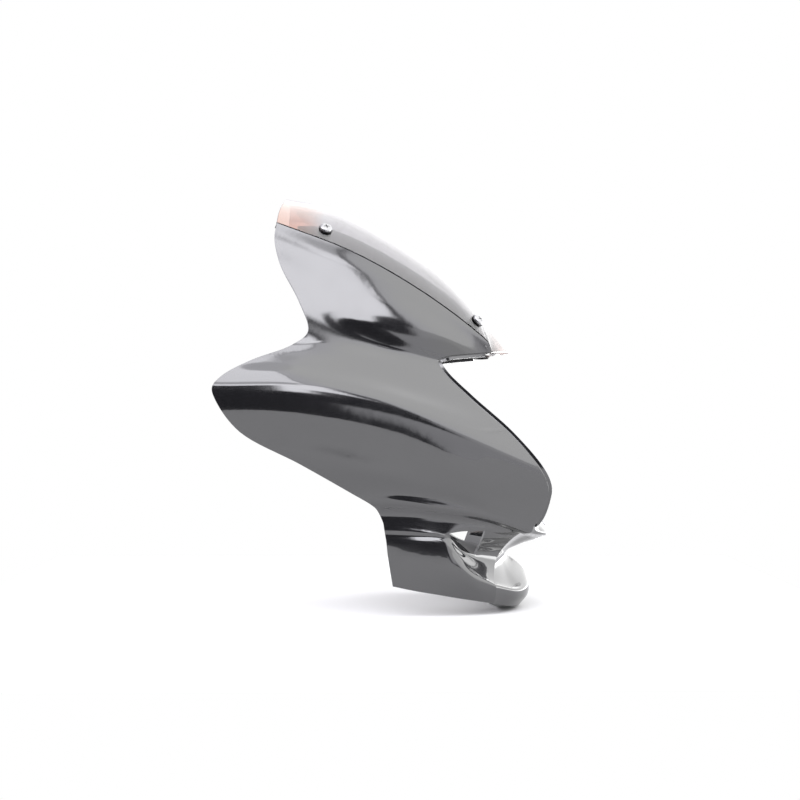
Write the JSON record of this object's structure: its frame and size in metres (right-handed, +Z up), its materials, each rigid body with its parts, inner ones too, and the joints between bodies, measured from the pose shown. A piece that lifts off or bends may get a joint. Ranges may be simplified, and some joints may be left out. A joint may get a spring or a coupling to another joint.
{
  "type": "motorcycle fairing",
  "caption": "Upper motorcycle fairing: gloss black headlight cowl with wings, duct mouths and a tinted screen on well nuts.",
  "frame": {"origin": "middle of the line between the two upper stay bolts, on the plane of symmetry", "axes": "+X forward, +Y to the rider's left, +Z up, in the fitted attitude"},
  "size_m": [0.3385, 0.3122, 0.427],
  "materials": {
    "gloss_black": "high gloss",
    "tinted_screen": "gloss, tinted",
    "screw_steel": "zinc plated",
    "black_washer": "satin",
    "black_rubber": "matt",
    "brass": "turned",
    "sleeve_steel": "zinc plated"
  },
  "bodies": {
    "root": {"cowl": "gloss_black", "screen": "tinted_screen", "screen_screw_rear_left": "screw_steel", "screen_screw_rear_right": "screw_steel", "screen_screw_front_left": "screw_steel", "screen_screw_front_right": "screw_steel", "screen_washer_rear_left": "black_washer", "screen_washer_rear_right": "black_washer", "screen_washer_front_left": "black_washer", "screen_washer_front_right": "black_washer", "well_nut_rear_left": "black_rubber", "well_nut_rear_right": "black_rubber", "well_nut_front_left": "black_rubber", "well_nut_front_right": "black_rubber", "well_insert_rear_left": "brass", "well_insert_rear_right": "brass", "well_insert_front_left": "brass", "well_insert_front_right": "brass", "stay_grommet_upper_left": "black_rubber", "stay_grommet_upper_right": "black_rubber", "stay_grommet_lower_left": "black_rubber", "stay_grommet_lower_right": "black_rubber", "stay_sleeve_upper_left": "sleeve_steel", "stay_sleeve_upper_right": "sleeve_steel", "stay_sleeve_lower_left": "sleeve_steel", "stay_sleeve_lower_right": "sleeve_steel", "chin_screw": "screw_steel"}
  },
  "joints": []
}
